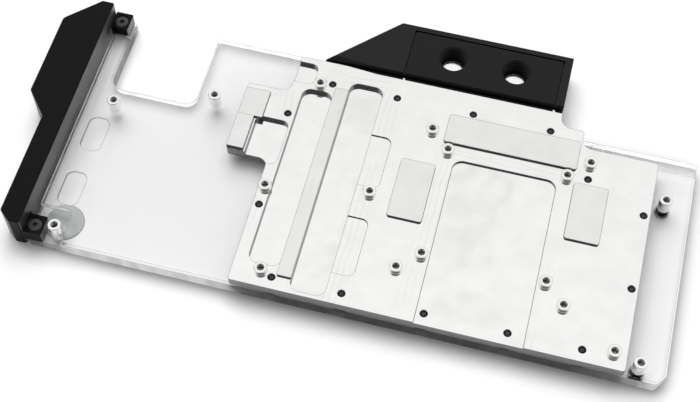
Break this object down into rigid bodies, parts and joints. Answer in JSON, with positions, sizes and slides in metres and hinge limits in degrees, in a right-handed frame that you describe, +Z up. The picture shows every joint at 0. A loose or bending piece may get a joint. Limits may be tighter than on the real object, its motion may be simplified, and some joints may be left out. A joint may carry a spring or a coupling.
{
  "type": "liquid cooling cold plate",
  "caption": "Full-cover liquid cooling plate for a graphics card: nickel-plated metal plate on a clear acrylic body, with a black two-port terminal and a light cover.",
  "frame": {"origin": "middle of the base, on the plane that the outer face rests on", "axes": "+X along the card, away from the light cover; +Y across the card, towards the ports; +Z up, towards the circuit board"},
  "size_m": [0.2958, 0.1466, 0.0183],
  "materials": {
    "clear_acrylic": "polished",
    "nickel_plate": "nickel plated copper, polished",
    "standoff_metal": "turned brass, nickel plated",
    "steel_screw": "plain steel",
    "black_screw": "black oxide",
    "black_acetal": "machined, matt",
    "black_panel": "matt",
    "black_aluminium": "black anodised",
    "cover_base_plastic": "matt",
    "seal_rubber": "smooth",
    "stainless_sheet": "thin stainless sheet",
    "circuit_board": "white solder mask",
    "light_chip": "clear lens",
    "disc_metal": "plain disc"
  },
  "bodies": {
    "root": {"clear_body": "clear_acrylic", "cold_plate": "nickel_plate", "jet_plate": "stainless_sheet", "main_o_ring": "seal_rubber", "inlet_o_ring": "seal_rubber", "outlet_o_ring": "seal_rubber", "terminal_block": "black_acetal", "terminal_panel": "black_panel", "light_cover": "black_aluminium", "light_cover_base": "cover_base_plastic", "light_strip": "circuit_board", "light_chips": "light_chip", "light_cover_screws": "black_screw", "badge_disc": "disc_metal", "plate_screws": "steel_screw", "terminal_screws": "steel_screw", "standoff_screws": "steel_screw", "notch_standoff": "standoff_metal", "inner_standoff_1": "standoff_metal", "inner_standoff_2": "standoff_metal", "inner_standoff_3": "standoff_metal", "inner_standoff_4": "standoff_metal", "outer_standoff_1": "standoff_metal", "outer_standoff_2": "standoff_metal", "outer_standoff_3": "standoff_metal", "outer_standoff_4": "standoff_metal", "edge_standoff_1": "standoff_metal", "edge_standoff_2": "standoff_metal", "edge_standoff_3": "standoff_metal", "edge_standoff_4": "standoff_metal", "edge_standoff_5": "standoff_metal", "ledge_standoff_1": "standoff_metal", "ledge_standoff_2": "standoff_metal", "right_standoff_1": "standoff_metal", "right_standoff_2": "standoff_metal"}
  },
  "joints": []
}
